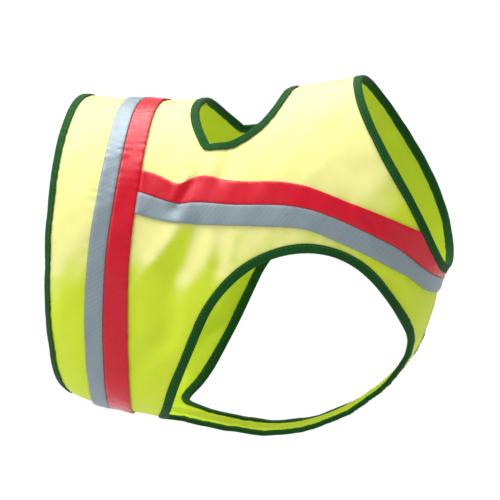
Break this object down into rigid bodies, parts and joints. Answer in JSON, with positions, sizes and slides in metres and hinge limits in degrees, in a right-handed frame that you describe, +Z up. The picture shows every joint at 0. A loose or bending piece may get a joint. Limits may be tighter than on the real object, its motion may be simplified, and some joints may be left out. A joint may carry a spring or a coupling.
{
  "type": "dog safety vest",
  "caption": "Pull-on high-visibility vest for a large dog, in its hollow worn shape, with an opening on the back, armholes, reflective tapes and a folded binding",
  "frame": {"origin": "on the inside of the yoke at the centre back, over the wearer's withers, between the opening on the back and the neck", "axes": "+X towards the wearer's head, +Y to the wearer's left, +Z up"},
  "size_m": [0.3215, 0.22, 0.3],
  "materials": {
    "hi_vis_yellow": "fluorescent yellow woven polyester, matt",
    "red_tape": "fluorescent red tape, smooth with a soft shine",
    "silver_tape": "retro-reflective silver grey tape, fine grain",
    "green_binding": "dark green ribbed binding, matt"
  },
  "bodies": {
    "root": {"panel_right": "hi_vis_yellow", "panel_left": "hi_vis_yellow", "girth_silver_tape": "silver_tape", "girth_red_tape": "red_tape", "chest_silver_tape": "silver_tape", "chest_red_tape": "red_tape", "hem_binding": "green_binding", "neck_binding": "green_binding", "hole_binding": "green_binding", "armhole_binding_right": "green_binding", "armhole_binding_left": "green_binding"}
  },
  "joints": []
}
